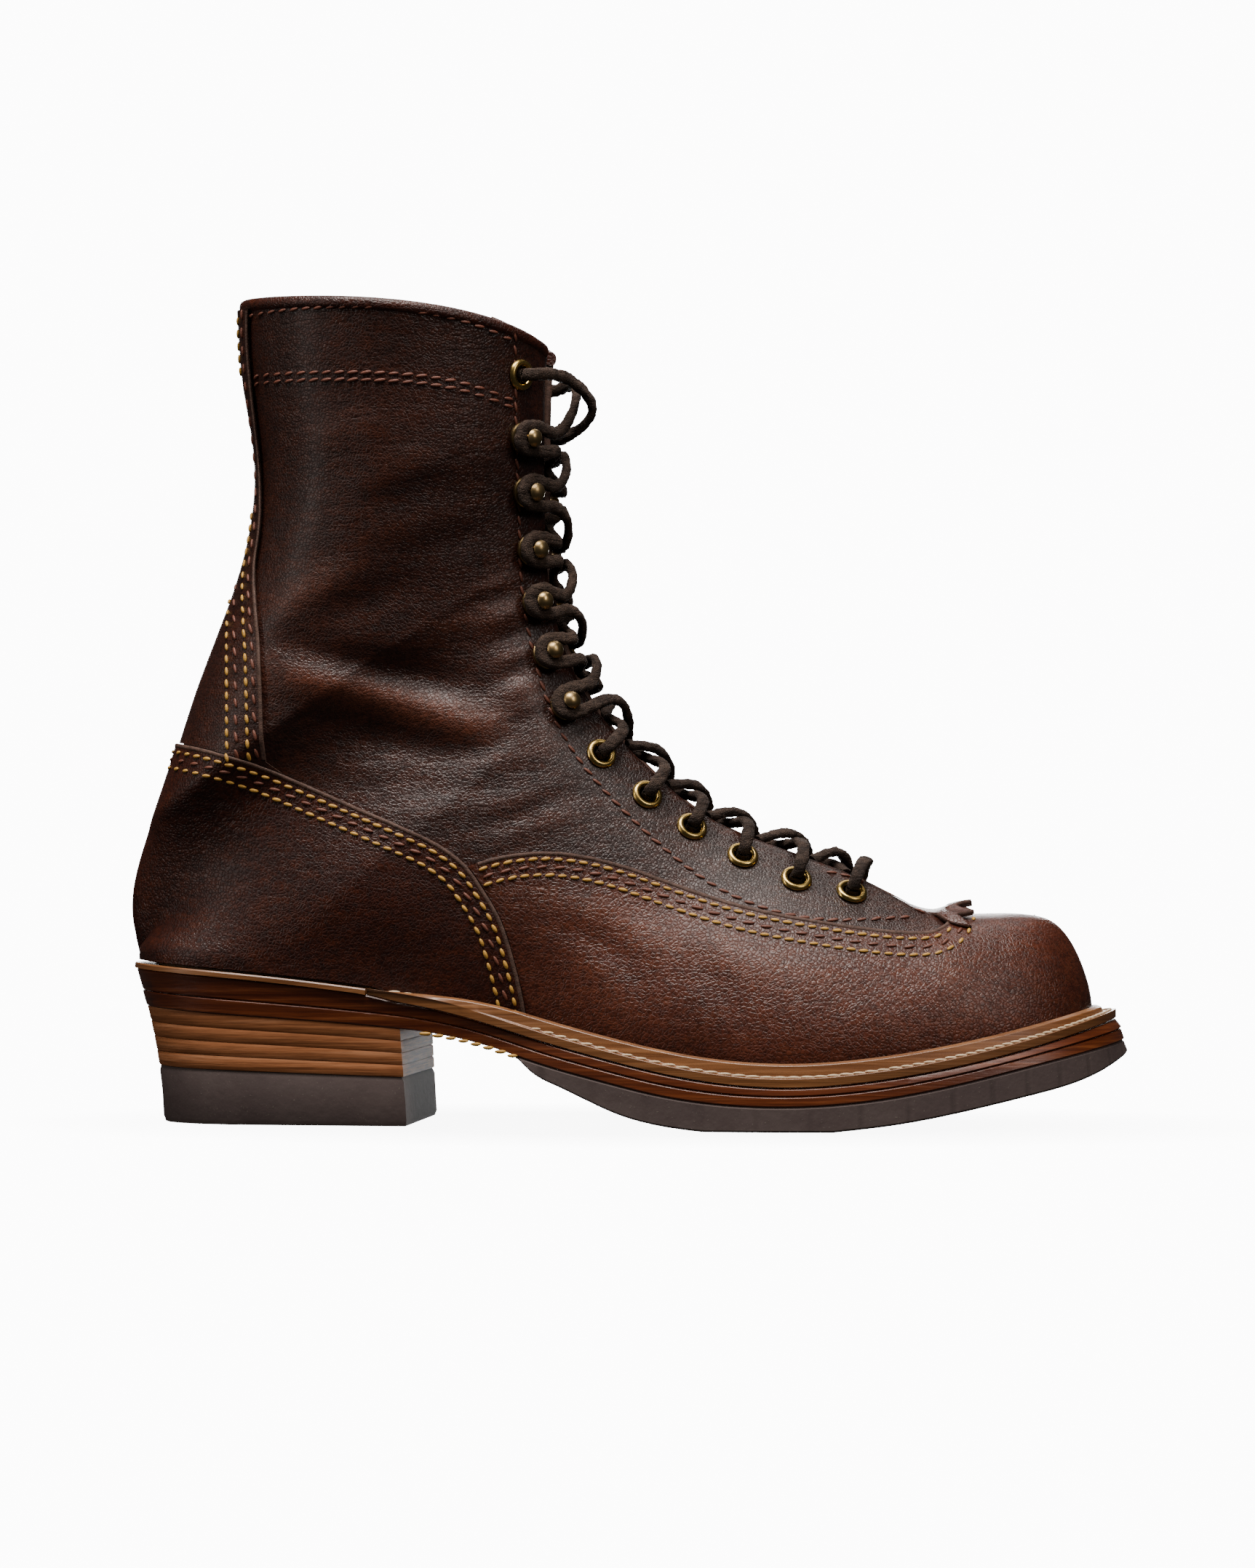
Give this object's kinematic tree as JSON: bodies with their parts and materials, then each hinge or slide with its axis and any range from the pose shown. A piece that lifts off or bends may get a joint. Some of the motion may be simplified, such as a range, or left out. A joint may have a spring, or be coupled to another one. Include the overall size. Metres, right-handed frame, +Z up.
{
  "type": "logger boot",
  "caption": "Lace-up logger boot with a tall leather shaft, hook and eyelet lacing, a folded kiltie over the vamp, a stitched welt and a high stacked heel.",
  "frame": {"origin": "centre of the heel's flat base, on the floor", "axes": "+X from heel to toe along the boot, +Y to the medial side (the boot is a right one), +Z up"},
  "size_m": [0.3051, 0.1081, 0.2523],
  "materials": {
    "upper_leather": "oiled, pull-up, semi-matt",
    "insole_leather": "smooth vegetable-tanned",
    "welt_leather": "waxed edge",
    "sole_leather": "burnished edge",
    "heel_leather": "stacked lifts, burnished",
    "rubber": "moulded, matt",
    "brass": "worn antique",
    "lace": "rawhide, rough"
  },
  "bodies": {
    "root": {"upper": "upper_leather", "vamp": "upper_leather", "counter": "upper_leather", "backstay": "upper_leather", "top_binding": "upper_leather", "tongue": "upper_leather", "kiltie": "upper_leather", "insole": "insole_leather", "welt": "welt_leather", "heel_rand": "welt_leather", "midsole": "sole_leather", "outsole": "sole_leather", "heel_lift_1": "heel_leather", "heel_lift_2": "heel_leather", "heel_lift_3": "heel_leather", "heel_lift_4": "heel_leather", "half_sole": "rubber", "heel_cap": "rubber", "eyelet_outer_1": "brass", "eyelet_outer_2": "brass", "eyelet_outer_3": "brass", "eyelet_outer_4": "brass", "eyelet_outer_5": "brass", "eyelet_outer_6": "brass", "eyelet_outer_7": "brass", "hook_outer_1": "brass", "hook_outer_2": "brass", "hook_outer_3": "brass", "hook_outer_4": "brass", "hook_outer_5": "brass", "hook_outer_6": "brass", "eyelet_inner_1": "brass", "eyelet_inner_2": "brass", "eyelet_inner_3": "brass", "eyelet_inner_4": "brass", "eyelet_inner_5": "brass", "eyelet_inner_6": "brass", "eyelet_inner_7": "brass", "hook_inner_1": "brass", "hook_inner_2": "brass", "hook_inner_3": "brass", "hook_inner_4": "brass", "hook_inner_5": "brass", "hook_inner_6": "brass", "lace_bar": "lace", "lace_outer_run": "lace", "lace_inner_run": "lace", "lace_outer_1": "lace", "lace_outer_2": "lace", "lace_outer_3": "lace", "lace_outer_4": "lace", "lace_outer_5": "lace", "lace_inner_1": "lace", "lace_inner_2": "lace", "lace_inner_3": "lace", "lace_inner_4": "lace", "lace_inner_5": "lace"}
  },
  "joints": []
}
